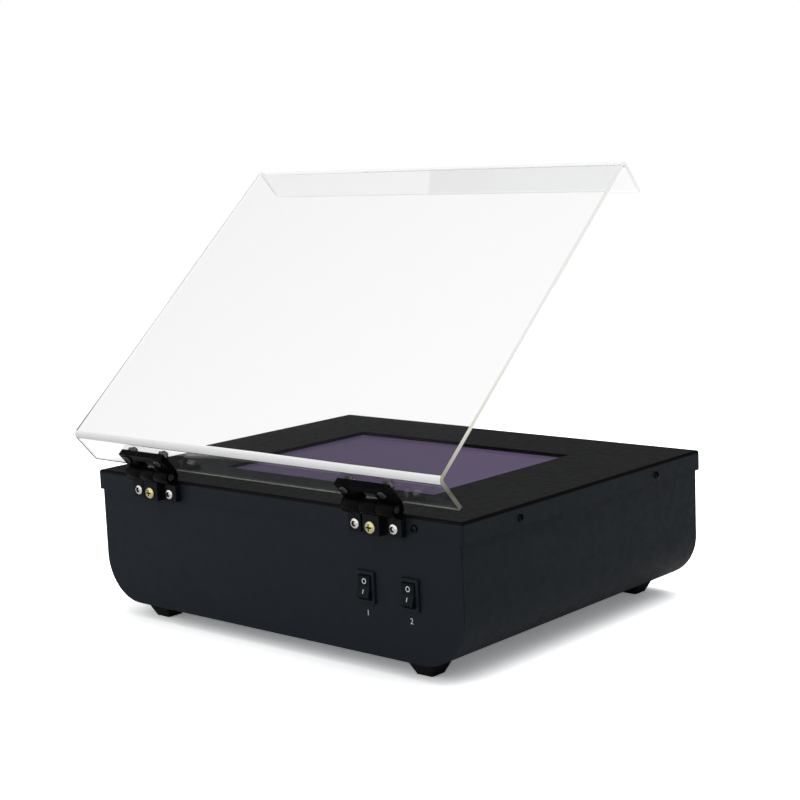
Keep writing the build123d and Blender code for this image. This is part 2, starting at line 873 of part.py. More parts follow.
with BuildPart() as inlet_pins:
    with BuildSketch(upright(flange_y - socket_d)):
        with Locations(
            (inlet_x - inlet_pin_pitch, inlet_z - inlet_pin_drop),
            (inlet_x, inlet_z + inlet_pin_drop),
            (inlet_x + inlet_pin_pitch, inlet_z - inlet_pin_drop),
        ):
            Rectangle(inlet_pin_w, inlet_pin_h)
    extrude(amount=-inlet_pin_len)
keep(inlet_pins, "inlet_pins")

with BuildPart() as inlet_screws:
    screws(
        Plane(origin=(0, flange_y, 0), x_dir=(-1, 0, 0), z_dir=(0, 1, 0)),
        [(-x, z) for x, z in inlet_screw_points],
        m3_r,
        inlet_flange_t + panel_t + m3_nut_h,
        m3_head_r,
        m3_head_h,
    )
keep(inlet_screws, "inlet_screws")

# Fuse holder, its ring nut and its cap
with BuildPart() as fuse_holder:
    rods(upright(panel_y + fuse_flange_t), [(fuse_x, inlet_z)], fuse_flange_r, fuse_flange_t)
    rods(upright(panel_y), [(fuse_x, inlet_z)], fuse_body_r, fuse_body_d)
    drill(
        upright(panel_y + fuse_flange_t),
        [(fuse_x, inlet_z)],
        fuse_plug_r + fit_gap,
        fuse_cap_seat + fuse_flange_t,
    )
keep(fuse_holder, "fuse_holder")

with BuildPart() as fuse_cap:
    rods(
        upright(panel_y + fuse_flange_t + fuse_cap_h),
        [(fuse_x, inlet_z)],
        fuse_cap_r,
        fuse_cap_h,
    )
    rods(
        upright(panel_y + fuse_flange_t),
        [(fuse_x, inlet_z)],
        fuse_plug_r,
        fuse_cap_seat + fuse_flange_t,
    )
keep(fuse_cap, "fuse_cap")

with BuildPart() as fuse_ring:
    hex_nuts(
        upright(panel_y - panel_t),
        [(fuse_x, inlet_z)],
        2 * fuse_flange_r,
        fuse_ring_h,
        fuse_body_r + thread_fit,
    )
keep(fuse_ring, "fuse_ring_nut")

# Lamps, their caps and their holders
glass_len = lamp_len - 2 * lamp_cap_len
for i, y in enumerate(lamp_ys, start=1):
    with BuildPart() as lamp:
        rods(sideways(-glass_len / 2), [(y, lamp_z)], lamp_r, glass_len)
        drill(sideways(-glass_len / 2), [(y, lamp_z)], lamp_r - lamp_wall, glass_len)
    keep(lamp, "lamp_tube_" + str(i))

for place, side in (("left", -1), ("right", 1)):
    with BuildPart() as lamp_caps:
        rods(
            sideways(side * glass_len / 2),
            [(y, lamp_z) for y in lamp_ys],
            lamp_cap_r,
            side * lamp_cap_len,
        )
        rods(
            sideways(side * lamp_len / 2),
            [(y, lamp_z + s * lamp_pin_pitch / 2) for y in lamp_ys for s in (-1, 1)],
            lamp_pin_r,
            side * lamp_pin_len,
        )
    keep(lamp_caps, "lamp_caps_" + place)

    holder_x = side * (lamp_len / 2 + holder_gap)
    holder_h = lamp_z + holder_rise - tray_z
    slot_h = holder_slot_drop + holder_rise
    with BuildPart() as lamp_holders:
        with BuildSketch(sideways(holder_x)):
            with Locations(*[(y, tray_z + holder_h / 2) for y in lamp_ys]):
                RectangleRounded(holder_w, holder_h, holder_corner_r)
        extrude(amount=side * holder_t)
        with BuildSketch(sideways(holder_x)):
            with Locations(
                *[(y, lamp_z - holder_slot_drop + slot_h / 2) for y in lamp_ys]
            ):
                Rectangle(holder_slot_w, slot_h)
        extrude(amount=side * holder_slot_d, mode=Mode.SUBTRACT)
    keep(lamp_holders, "lamp_holders_" + place)

# Lamp tray: a folded sheet that stands on the floor of the cabinet
with BuildPart() as lamp_tray:
    with BuildSketch(level(tray_z - tray_t)):
        Rectangle(tray_w, tray_d)
    extrude(amount=tray_t)
    for side in (-1, 1):
        with BuildSketch(level(inside_z)):
            with Locations((0, side * (tray_d / 2 - tray_t / 2))):
                Rectangle(tray_leg_w, tray_t)
        extrude(amount=tray_z - tray_t - inside_z)
        with BuildSketch(level(inside_z)):
            with Locations((0, side * (tray_d / 2 - tray_foot / 2))):
                Rectangle(tray_leg_w, tray_foot)
        extrude(amount=tray_t)
    drill(level(inside_z), tray_bolt_points, m4_r + screw_clear, tray_t)
keep(lamp_tray, "lamp_tray")

with BuildPart() as tray_screws:
    screws(
        Plane(origin=(0, 0, floor_z), x_dir=(1, 0, 0), z_dir=(0, 0, -1)),
        [(x, -y) for x, y in tray_bolt_points],
        m4_r,
        wrap_t + tray_t + nut_h,
        pan_head_r,
        pan_head_h,
    )
keep(tray_screws, "tray_screws")

# Reflector: a bright sheet with a trough under each lamp
slope_w = (lamp_pitch - reflector_flat - reflector_ridge_w) / 2
lower = []
for y in lamp_ys:
    left = y - reflector_flat / 2
    right = y + reflector_flat / 2
    lower += [
        (left - slope_w, tray_z + reflector_ridge),
        (left, tray_z),
        (right, tray_z),
        (right + slope_w, tray_z + reflector_ridge),
    ]
upper = [(y, z + reflector_t) for y, z in reversed(lower)]
with BuildPart() as reflector:
    with BuildSketch(sideways(-reflector_w / 2)):
        with BuildLine():
            Polyline(*lower, *upper, close=True)
        make_face()
    extrude(amount=reflector_w)
keep(reflector, "reflector")

# Ballasts on the floor, each with two ears
for place, y in (("front", -ballast_y), ("rear", ballast_y)):
    with BuildPart() as ballast:
        with BuildSketch(level(inside_z)):
            with Locations((0, y)):
                RectangleRounded(ballast_w, ballast_d, ballast_corner_r)
        extrude(amount=ballast_h)
        with BuildSketch(level(inside_z)):
            with Locations((0, y)):
                RectangleRounded(ballast_w + 2 * ballast_ear, ballast_d, ballast_corner_r)
        extrude(amount=ballast_ear_t)
        drill(
            level(inside_z),
            [(-ballast_screw_x, y), (ballast_screw_x, y)],
            m4_r + screw_clear,
            ballast_ear_t,
        )
    keep(ballast, "ballast_" + place)

with BuildPart() as ballast_screws:
    screws(
        level(inside_z + ballast_ear_t),
        ballast_screw_points,
        m4_r,
        ballast_ear_t + wrap_t,
        m4_head_r,
        m4_head_h,
    )
keep(ballast_screws, "ballast_screws")

# Terminal block
with BuildPart() as terminal_block:
    with BuildSketch(level(inside_z)):
        with Locations((terminal_x, terminal_y)):
            Rectangle(terminal_w, terminal_d)
    extrude(amount=terminal_h / 2)
    with BuildSketch(level(inside_z)):
        with Locations((terminal_x, terminal_y)):
            Rectangle(terminal_ways * terminal_step, terminal_d)
    extrude(amount=terminal_h)
    with BuildSketch(level(inside_z + terminal_h)):
        with Locations((terminal_x, terminal_y)):
            with GridLocations(terminal_step, terminal_step, terminal_ways, 1):
                Circle(terminal_hole_r)
    extrude(amount=-terminal_h / 3, mode=Mode.SUBTRACT)
    drill(level(inside_z), terminal_screw_points, m3_r + screw_clear, terminal_h)
keep(terminal_block, "terminal_block")

with BuildPart() as terminal_screws:
    screws(
        level(inside_z + terminal_h / 2),
        terminal_screw_points,
        m3_r,
        terminal_h / 2 + wrap_t,
        m3_head_r,
        m3_head_h,
    )
keep(terminal_screws, "terminal_screws")
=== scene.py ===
"""Low light box with a clear hinged lid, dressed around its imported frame."""

import json
import math

import bmesh
import bpy
from mathutils import Matrix, Vector
from mathutils.bvhtree import BVHTree


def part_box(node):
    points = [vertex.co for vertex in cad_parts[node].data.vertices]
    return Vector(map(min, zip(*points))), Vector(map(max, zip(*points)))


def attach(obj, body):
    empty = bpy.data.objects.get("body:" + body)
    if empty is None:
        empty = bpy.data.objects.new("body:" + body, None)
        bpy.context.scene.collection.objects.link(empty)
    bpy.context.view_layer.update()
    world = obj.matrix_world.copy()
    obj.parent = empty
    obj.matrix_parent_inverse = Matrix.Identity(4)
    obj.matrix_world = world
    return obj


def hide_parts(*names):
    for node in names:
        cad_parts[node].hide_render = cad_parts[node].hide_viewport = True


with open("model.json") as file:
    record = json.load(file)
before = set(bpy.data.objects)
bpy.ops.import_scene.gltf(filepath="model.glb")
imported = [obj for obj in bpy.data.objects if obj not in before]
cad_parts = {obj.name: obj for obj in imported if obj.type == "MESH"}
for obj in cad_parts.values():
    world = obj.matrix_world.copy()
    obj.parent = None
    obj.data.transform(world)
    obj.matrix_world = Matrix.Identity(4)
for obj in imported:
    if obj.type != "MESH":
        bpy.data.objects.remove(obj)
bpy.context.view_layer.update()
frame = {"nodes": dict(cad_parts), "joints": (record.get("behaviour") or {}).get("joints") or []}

bl_info = {
    "name": "Light Box With Clear Lid",
    "version": (1, 0, 0),
    "blender": (4, 5, 0),
    "location": "View3D > Sidebar > Light Box",
    "description": "Dresses the frame of a bench light box with its finishes and small pieces",
    "category": "Add Mesh",
}

MM = 0.001
NODES = frame["nodes"]
JOINTS = {joint["name"]: joint for joint in frame["joints"]}

# Viewing point of the reference picture, in metres, with its right and up directions
CAMERA_PLACE = (0.7915, -0.8910, 0.3286)
CAMERA_RIGHT = (0.7536, 0.6561, -0.0414)
CAMERA_UP = (-0.0672, 0.1388, 0.9880)
CAMERA_LENS = 75.66
SENSOR_WIDTH = 36.0

# Soft lamps: place, aim, side of the square face in metres, and power in watts
TOP_LAMP = ((0.42, 0.45, 1.8), (0, 0, 0.1), 1.8, 18.0)
SIDE_LAMP = ((-0.5, -1.8, 1.1), (0, 0, 0.05), 1.0, 5.0)

# Parts of the sky, as spans of a direction's component along an axis
SKY_RISE = (0.1, 0.95)
SKY_SWEEP = (-0.8, 0.5)
SKY_SWEEP_TURN = 0.6
MIRRORED_SPAN = (-0.55, -0.16)
THROUGH_RISE = (0.3, 0.4)
FLOOR_REACH = 2.2
LIFT_COLOUR = (0.94, 0.97, 1.0, 1.0)

# Opening of the lid in the frame, as built
LID_ANGLE = math.radians(41.7)

# Faces of the closed lid: bends lean more than these away from its flat walls
NEAR_BEND_LEAN = 0.2
LIP_BEND_LEAN = 0.02
SIDE_LEAN = 0.9
LID_MIDDLE = 100 * MM
END_DEPTH = 0.2 * MM
SAWN_SLOT, NEAR_BEND_SLOT, LIP_BEND_SLOT = 1, 2, 3

# Middle knuckles of the hinge bases are black from this far under the hinge's axis
KNUCKLE_DROP = 6.5 * MM
HINGE_EDGE = 0.3 * MM

# Faces of the cover: its top is flatter than the first and its skirt steeper than the second
COVER_FLAT = 0.98
COVER_STEEP = 0.05

# Heights over the bench between which the sawn edges' painted light turns pale, and their
# painted glow begins
PAINTED_PALE_RISE = (106 * MM, 206 * MM)
PAINTED_GLOW_RISE = (128 * MM, 165 * MM)

# Points closer than this are one, and edges sharper than these are rounded or left sharp
WELD_GAP = 0.001 * MM
ROUND_ANGLE = math.radians(35)
SHARP_ANGLE = math.radians(32)

# Screws: share of the radius where the rim begins, and drop from the rim to the shank
RIM_SHARE = 0.98
SHANK_DROP = 0.5 * MM

# Head of a screw: rings of its dome as shares of the radius, and the shares of a recess's
# width and depth inside its mouth, at its floor and at its tip
DOME_RINGS = (1.0, 0.985, 0.94, 0.86, 0.76)
MOUTH_WIDTH, MOUTH_DEPTH = 0.93, 0.3
FLOOR_WIDTH = 0.6
TIP_DEPTH = 1.15

# Gap between the front panel and the numbers on it
NUMBER_GAP = 0.05 * MM

# Groups of CAD nodes by finish
SHEET_NODES = ("wrap_shell", "front_panel", "rear_panel")
HINGE_BASES = ("hinge_base_left", "hinge_base_right")
HINGE_FLAPS = ("hinge_flap_left", "hinge_flap_right")
FOOT_NODES = ("foot_front_left", "foot_front_right", "foot_rear_left", "foot_rear_right")
SWITCHES = {"lamp_rocker": "rocker_lamp", "power_rocker": "rocker_power"}
TUBE_NODES = tuple(name for name in NODES if name.startswith("lamp_tube_"))
ZINC_NODES = (
    "floor_nuts", "hinge_base_nuts", "panel_nuts", "filter_nuts", "filter_studs",
    "rivet_nuts", "foot_screws", "tray_screws", "ballast_screws", "terminal_screws",
    "inlet_screws",
)


def unit_size(name, text, value):
    """A length property in metres."""
    return bpy.props.FloatProperty(
        name=name, description=text, default=value, min=0.0, unit="LENGTH"
    )


def colour(name, text, value):
    """A colour property."""
    return bpy.props.FloatVectorProperty(
        name=name, description=text, default=value, size=3, min=0.0, max=1.0,
        subtype="COLOR",
    )


def level(name, text, value):
    """A light level property."""
    return bpy.props.FloatProperty(name=name, description=text, default=value, min=0.0)


def share(name, text, value):
    """A factor property from 0 to 1."""
    return bpy.props.FloatProperty(
        name=name, description=text, default=value, min=0.0, max=1.0, subtype="FACTOR"
    )


class SheetFinish(bpy.types.PropertyGroup):
    """Powder coat of the cabinet."""

    coat: colour("Coat", "Colour of the body's blue-black coat", (0.0086, 0.0128, 0.0182))
    # The cover colour is the body's coat made lighter and more neutral on the top face, a
    # painted reflection
    cover: colour("Cover", "Colour of the top cover's black coat", (0.0175, 0.0180, 0.0185))
    roughness: share("Roughness", "Roughness of the coat", 0.5)
    peel: unit_size("Orange peel", "Depth of the ripple in the coat", 0.000012)
    edge: unit_size("Edge radius", "Radius that rounds the cut edges", 0.0003)


class LidFinish(bpy.types.PropertyGroup):
    """Clear sheet of the lid."""

    tint: colour("Tint", "Colour that the sheet passes", (0.985, 0.99, 0.985))
    # The sawn colour is partly the frosting of the cut edges and partly painted light seen
    # through the sheet
    sawn: colour("Sawn edge", "Colour of the frosted cut edges", (0.72, 0.73, 0.70))
    # The bends' colour is a painted highlight, standing in for the bright band that their curve
    # refracts
    bend: colour("Bends", "Colour that the hot bends scatter", (0.98, 0.98, 0.98))
    index: bpy.props.FloatProperty(
        name="Index", description="Refractive index of the sheet", default=1.49, min=1.0
    )


class FilterFinish(bpy.types.PropertyGroup):
    """Dark filter glass under the window."""

    glass: colour("Glass", "Colour of the filter glass", (0.160, 0.114, 0.228))
    roughness: share("Roughness", "Roughness of the glass", 0.2)


class ScrewSizes(bpy.types.PropertyGroup):
    """Heads of the screws that show."""

    socket: unit_size("Socket", "Width across the flats of the hexagon sockets", 0.0036)
    cross: unit_size("Cross", "Length of the cross recesses", 0.0046)
    cross_width: unit_size("Cross width", "Width of a recess's wings", 0.0011)
    edge: share("Edge", "Share of a head's height that its upright edge takes", 0.38)
    recess: share("Recess", "Depth of a recess as a share of the head's height", 0.75)


class MarkSizes(bpy.types.PropertyGroup):
    """White marks of the rockers and the numbers under them."""

    ring: unit_size("Ring", "Outer radius of the off mark", 0.00185)
    stroke: unit_size("Stroke", "Width of the marks' lines", 0.0006)
    bar: unit_size("Bar", "Length of the on mark", 0.0026)
    number: unit_size("Number", "Size of the numbers under the switches", 0.00532)
    drop: unit_size("Drop", "Gap between a switch and its number", 0.004)
    lift: unit_size("Lift", "Height of the ink over a rocker", 0.00004)
    ring_shift: unit_size("Ring shift", "Place of the off mark right of the middle", 0.0003)
    ring_height: share("Ring height", "Place of the off mark up the rocker", 0.75)
    bar_height: share("Bar height", "Place of the on mark up the rocker", 0.36)
    ink: colour("Ink", "Colour of the marks", (0.78, 0.79, 0.80))


class StageSettings(bpy.types.PropertyGroup):
    """Floor, light and background."""

    floor: colour("Floor", "Colour of the floor", (0.66, 0.66, 0.66))
    floor_seen: level("Floor seen", "Level of the floor as the camera sees it", 1.8)
    floor_lift: level("Floor lift", "Least level of the floor as the camera sees it", 0.18)
    behind_lid: level("Behind the lid", "Level of the white seen through clear sheet", 1.09)
    mirrored: level("Mirrored", "Level that glossy faces mirror from behind", 0.07)
    mirrored_front: level("Mirrored front", "Level they mirror from in front", 1.1)
    sky_top: level("Sky top", "Level of the light from straight above", 0.75)
    sky_front: level("Sky front", "Level of the light from the horizon in front", 0.6)
    sky_back: level("Sky back", "Level of the light from the horizon behind", 0.06)


class Tree:
    """Node tree of one material, with short calls for the nodes used here."""

    def __init__(self, name):
        self.material = bpy.data.materials.new(name)
        self.material.use_nodes = True
        self.nodes = self.material.node_tree.nodes
        self.links = self.material.node_tree.links
        self.shader = self.nodes["Principled BSDF"]
        self.output = self.nodes["Material Output"]
        self.place = self.nodes.new("ShaderNodeTexCoord").outputs["Object"]

    def set(self, **values):
        """Sets sockets of the main shader, with _ for a space in their names."""
        for name, value in values.items():
            if isinstance(value, tuple):
                value = (*value, 1.0)
            self.shader.inputs[name.replace("_", " ")].default_value = value

    def node(self, kind, **inputs):
        """Adds a node and links its inputs by name."""
        made = self.nodes.new(kind)
        for name, value in inputs.items():
            self.links.new(value, made.inputs[name])
        return made

    def noise(self, scale, detail, stretch=None):
        """Noise over the object's own place, stretched along its axes."""
        place = self.place
        if stretch:
            mapped = self.node("ShaderNodeMapping", Vector=place)
            mapped.inputs["Scale"].default_value = stretch
            place = mapped.outputs["Vector"]
        made = self.node("ShaderNodeTexNoise", Vector=place)
        made.inputs["Scale"].default_value = scale
        made.inputs["Detail"].default_value = detail
        return made.outputs["Fac"]

    def ramp(self, value, low, high, to_low=0.0, to_high=1.0):
        """Maps a value from one span to another, held at the ends."""
        made = self.node("ShaderNodeMapRange", Value=value)
        names = ("From Min", "From Max", "To Min", "To Max")
        for name, number in zip(names, (low, high, to_low, to_high)):
            made.inputs[name].default_value = number
        return made.outputs["Result"]

    def blend_colours(self, fac, first, second):
        """Mixes two colours or colour sockets."""
        made = self.nodes.new("ShaderNodeMix")
        made.data_type = "RGBA"
        self.links.new(fac, made.inputs[0])
        for socket, value in ((made.inputs[6], first), (made.inputs[7], second)):
            if isinstance(value, bpy.types.NodeSocket):
                self.links.new(value, socket)
            else:
                socket.default_value = (*value, 1.0)
        return made.outputs[2]

    def bump(self, *heights):
        """Lays heights, each with its depth in metres, on the surface in turn."""
        normal = None
        for height, depth in heights:
            made = self.node("ShaderNodeBump", Height=height)
            made.inputs["Distance"].default_value = depth
            if normal:
                self.links.new(normal, made.inputs["Normal"])
            normal = made.outputs["Normal"]
        self.links.new(normal, self.shader.inputs["Normal"])

    def thin(self, fac, tint=(1.0, 1.0, 1.0)):
        """Lets a share of the light pass straight through the surface."""
        clear = self.nodes.new("ShaderNodeBsdfTransparent")
        clear.inputs["Color"].default_value = (*tint, 1.0)
        mix = self.nodes.new("ShaderNodeMixShader")
        if isinstance(fac, bpy.types.NodeSocket):
            self.links.new(fac, mix.inputs[0])
        else:
            mix.inputs[0].default_value = fac
        self.links.new(self.shader.outputs["BSDF"], mix.inputs[1])
        self.links.new(clear.outputs["BSDF"], mix.inputs[2])
        self.links.new(mix.outputs["Shader"], self.output.inputs["Surface"])

    def feed(self, socket, value):
        """Links a value into a socket of the main shader."""
        self.links.new(value, self.shader.inputs[socket])


def powder_coat(name, base, settings):
    """Powder coat: fine ripple, faint mottling and slightly uneven gloss."""
    tree = Tree(name)
    tree.set(Roughness=settings.roughness, Specular_IOR_Level=0.13)
    cloud = tree.ramp(tree.noise(38.0, 4.0), 0.35, 0.7)
    speck = tree.ramp(tree.noise(2600.0, 2.0), 0.5, 0.75, 0.0, 0.25)
    rubbed = tuple(1.08 * c for c in base)
    dust = tuple(1.3 * c for c in base)
    mottled = tree.blend_colours(cloud, base, rubbed)
    tree.feed("Base Color", tree.blend_colours(speck, mottled, dust))
    dull, duller = settings.roughness - 0.05, settings.roughness + 0.06
    tree.feed("Roughness", tree.ramp(tree.noise(160.0, 3.0), 0.3, 0.7, dull, duller))
    tree.bump((tree.noise(950.0, 2.0), settings.peel), (tree.noise(4200.0, 1.0), 0.000006))
    return tree.material


def hinge_paint(name, base, gloss):
    """Paint of the hinges, smoother than the cabinet's coat."""
    tree = Tree(name)
    tree.set(Base_Color=base, Roughness=0.32, Specular_IOR_Level=gloss)
    tree.feed("Roughness", tree.ramp(tree.noise(500.0, 3.0), 0.3, 0.7, 0.26, 0.40))
    tree.bump((tree.noise(1500.0, 2.0), 0.00001))
    return tree.material


def clear_sheet(settings):
    """Clear acrylic with polished faces, which casts only a faint shadow."""
    tree = Tree("clear_acrylic")
    tree.set(
        Base_Color=tuple(settings.tint), Roughness=0.0, IOR=settings.index,
        Transmission_Weight=1.0, Specular_IOR_Level=0.5,
    )
    tree.feed("Roughness", tree.ramp(tree.noise(60.0, 2.0), 0.3, 0.8, 0.0, 0.012))
    ray = tree.nodes.new("ShaderNodeLightPath")
    either = tree.nodes.new("ShaderNodeMath")
    either.operation = "MAXIMUM"
    tree.links.new(ray.outputs["Is Shadow Ray"], either.inputs[0])
    tree.links.new(ray.outputs["Is Diffuse Ray"], either.inputs[1])
    tree.thin(either.outputs[0], (0.90, 0.91, 0.90))
    return tree.material


def sawn_edge(settings):
    """Cut edges of the acrylic, with the light they carry through the sheet painted on: dull and
    olive low down, pale and with a painted glow higher up.
    """
    tree = Tree("sawn_acrylic_edge_painted_light")
    tree.set(Roughness=0.35, IOR=settings.index, Transmission_Weight=0.1)
    split = tree.node("ShaderNodeSeparateXYZ", Vector=tree.place)
    rise = tree.nodes.new("ShaderNodeValToRGB")
    height = split.outputs["Z"]
    tree.links.new(tree.ramp(height, *PAINTED_PALE_RISE), rise.inputs["Fac"])
    stops = rise.color_ramp.elements
    stops[0].position = 0.0
    stops[0].color = (0.085, 0.09, 0.07, 1.0)
    stops[1].position = 1.0
    stops[1].color = (*settings.sawn, 1.0)
    for position, shade in (
        (0.2, (0.11, 0.11, 0.07)), (0.3, (0.40, 0.38, 0.28)), (0.5, (0.60, 0.59, 0.53))
    ):
        stops.new(position).color = (*shade, 1.0)
    saw_lines = tree.noise(220.0, 3.0, stretch=(1.0, 0.3, 0.3))
    cloud = tree.ramp(saw_lines, 0.3, 0.7, 0.0, 0.12)
    painted_light_shades = rise.outputs["Color"]
    tree.feed("Base Color", tree.blend_colours(cloud, painted_light_shades, (0.9, 0.91, 0.88)))
    tree.bump((tree.noise(900.0, 2.0, stretch=(1.0, 0.1, 0.1)), 0.00002))
    # The edges glow with painted light, though they are no lamp
    tree.feed("Emission Color", painted_light_shades)
    tree.feed("Emission Strength", tree.ramp(height, *PAINTED_GLOW_RISE, 0.05, 0.6))
    return tree.material


def stretched_bend(name, settings, clear):
    """Hot bends of the acrylic, painted near white as a highlight, with a share of the light let
    straight on.
    """
    tree = Tree(name)
    tree.set(Roughness=0.12, IOR=settings.index, Transmission_Weight=0.12)
    drawn = tree.noise(300.0, 3.0, stretch=(0.05, 1.0, 1.0))
    streaks = tree.ramp(drawn, 0.35, 0.65, 0.0, 0.25)
    tree.feed("Base Color", tree.blend_colours(streaks, settings.bend, (0.80, 0.80, 0.80)))
    tree.thin(clear)
    return tree.material


def filter_glass(settings):
    """Dark violet filter glass, nearly opaque, with a polished face."""
    tree = Tree("violet_filter_glass")
    tree.set(
        Roughness=settings.roughness, Specular_IOR_Level=0.35,
        Coat_Weight=0.3, Coat_Roughness=0.03,
    )
    cloud = tree.ramp(tree.noise(9.0, 2.0), 0.3, 0.7)
    deep = tuple(0.86 * c for c in settings.glass)
    tree.feed("Base Color", tree.blend_colours(cloud, deep, settings.glass))
    return tree.material


def rubber():
    """Matt black rubber with fine grain."""
    tree = Tree("foot_rubber")
    tree.set(Base_Color=(0.006, 0.006, 0.0062), Roughness=0.8, Specular_IOR_Level=0.2)
    tree.feed("Roughness", tree.ramp(tree.noise(300.0, 3.0), 0.3, 0.7, 0.72, 0.88))
    tree.bump((tree.noise(2200.0, 3.0), 0.00004))
    return tree.material


def moulded(name, base, rough, gloss=0.45):
    """Moulded plastic with a faint spark-eroded grain."""
    tree = Tree(name)
    tree.set(Specular_IOR_Level=gloss)
    low = tuple(0.9 * c for c in base)
    tree.feed("Base Color", tree.blend_colours(tree.noise(120.0, 2.0), low, base))
    grain = tree.noise(700.0, 3.0)
    tree.feed("Roughness", tree.ramp(grain, 0.3, 0.7, rough - 0.04, rough + 0.05))
    tree.bump((tree.noise(3000.0, 2.0), 0.00001))
    return tree.material


def metal(name, base, rough, spread=0.08):
    """Metal with a soft unevenness in its tone and its polish."""
    tree = Tree(name)
    tree.set(Metallic=1.0)
    low = tuple(0.82 * c for c in base)
    cloud = tree.noise(260.0, 4.0)
    tree.feed("Base Color", tree.blend_colours(tree.ramp(cloud, 0.3, 0.7), low, base))
    smoothest = max(rough - spread, 0.05)
    tree.feed("Roughness", tree.ramp(cloud, 0.3, 0.7, smoothest, rough + spread))
    tree.bump((tree.noise(1800.0, 2.0), 0.000004))
    return tree.material


def spangled_zinc():
    """Galvanised sheet with its crystal pattern."""
    tree = Tree("galvanised_sheet")
    tree.set(Metallic=1.0)
    cells = tree.node("ShaderNodeTexVoronoi", Vector=tree.place)
    cells.inputs["Scale"].default_value = 110.0
    tone = tree.ramp(cells.outputs["Color"], 0.0, 1.0)
    tree.feed("Base Color", tree.blend_colours(tone, (0.46, 0.48, 0.49), (0.66, 0.68, 0.69)))
    tree.feed("Roughness", tree.ramp(tone, 0.0, 1.0, 0.34, 0.5))
    return tree.material


def lamp_glass():
    """Black-violet glass of the tubes."""
    tree = Tree("lamp_glass")
    tree.set(Roughness=0.06, Coat_Weight=0.4, Coat_Roughness=0.02)
    deep, pale = (0.02, 0.014, 0.04), (0.035, 0.025, 0.06)
    tree.feed("Base Color", tree.blend_colours(tree.noise(40.0, 2.0), deep, pale))
    return tree.material


def printed_ink(settings):
    """White printing ink, slightly thin in places."""
    tree = Tree("white_ink")
    tree.set(Roughness=0.55)
    thin = tuple(0.82 * c for c in settings.ink)
    cover = tree.ramp(tree.noise(2500.0, 3.0), 0.35, 0.65)
    tree.feed("Base Color", tree.blend_colours(cover, thin, settings.ink))
    return tree.material


def dress(names, material):
    """Gives CAD nodes one material in every slot."""
    for name in names:
        data = NODES[name].data
        if not data.materials:
            data.materials.append(material)
        for index in range(len(data.materials)):
            data.materials[index] = material


def soften(names, width):
    """Rounds the cut edges of CAD nodes for the light, without changing their own mesh."""
    for name in names:
        piece = NODES[name]
        weld = piece.modifiers.new("close_seams", "WELD")
        weld.merge_threshold = WELD_GAP
        bevel = piece.modifiers.new("round_edges", "BEVEL")
        bevel.width = width
        bevel.segments = 2
        bevel.limit_method = "ANGLE"
        bevel.angle_limit = ROUND_ANGLE
        bevel.harden_normals = True


def mesh_piece(name, mesh_maker, body, slot_name, *materials, smooth=True):
    """Makes a piece from a bmesh function, dresses it and lets it ride on its body."""
    data = bpy.data.meshes.new(name)
    shape = bmesh.new()
    mesh_maker(shape)
    bmesh.ops.recalc_face_normals(shape, faces=shape.faces)
    shape.to_mesh(data)
    shape.free()
    piece = bpy.data.objects.new(name, data)
    bpy.context.scene.collection.objects.link(piece)
    for material in materials:
        data.materials.append(material)
    if smooth:
        data.shade_smooth()
        data.set_sharp_from_angle(angle=SHARP_ANGLE)
    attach(piece, body)
    return piece


def islands(node):
    """Vertices of each loose piece of a CAD node, welded where they meet."""
    shape = bmesh.new()
    shape.from_mesh(NODES[node].data)
    bmesh.ops.remove_doubles(shape, verts=shape.verts, dist=WELD_GAP)
    left = set(shape.verts)
    found = []
    while left:
        front = [left.pop()]
        piece = []
        while front:
            vertex = front.pop()
            piece.append(vertex.co.copy())
            for edge in vertex.link_edges:
                other = edge.other_vert(vertex)
                if other in left:
                    left.remove(other)
                    front.append(other)
        found.append(piece)
    shape.free()
    return found


class ScrewPlace:
    """Place, direction and sizes of one screw, read from its solid."""

    def __init__(self, points, out):
        self.out = out
        self.side = Vector((0, 0, 1)).cross(out).normalized()
        self.over = out.cross(self.side)
        across = [point.dot(self.side) for point in points]
        upward = [point.dot(self.over) for point in points]
        middle = (
            self.side * (min(across) + max(across)) / 2
            + self.over * (min(upward) + max(upward)) / 2
        )
        heights = [point.dot(out) for point in points]
        pairs = list(zip(points, heights))
        reaches = [(point - middle - out * height).length for point, height in pairs]
        self.radius = max(reaches)
        wide = RIM_SHARE * self.radius
        rim = min(height for height, reach in zip(heights, reaches) if reach > wide)
        self.seat = middle + out * rim
        self.height = max(heights) - rim
        self.length = rim - min(heights)
        low = rim - SHANK_DROP
        self.shank = max(reach for height, reach in zip(heights, reaches) if height < low)


def hexagon(angle, settings):
    """Distance from the middle to a hexagon socket's wall at an angle."""
    turned = (angle % (math.pi / 3)) - math.pi / 6
    return settings.socket / 2 / math.cos(turned)


def cross(angle, settings):
    """Distance from the middle to a cross recess's wall at an angle."""
    long = settings.cross / 2
    half = settings.cross_width / 2
    sine = max(abs(math.sin(angle)), 1e-9)
    cosine = max(abs(math.cos(angle)), 1e-9)
    return max(min(long / cosine, half / sine), min(long / sine, half / cosine))


def recess_angles(kind, settings):
    """Angles of a head's points: evenly round, and one at each corner of its recess."""
    steps = 36
    angles = {round(2 * math.pi * i / steps, 6) for i in range(steps)}
    if kind is cross:
        corner = math.atan2(settings.cross_width, settings.cross)
        for quarter in range(4):
            for extra in (corner, math.pi / 4, math.pi / 2 - corner):
                angles.add(round(quarter * math.pi / 2 + extra, 6))
    return sorted(angles)


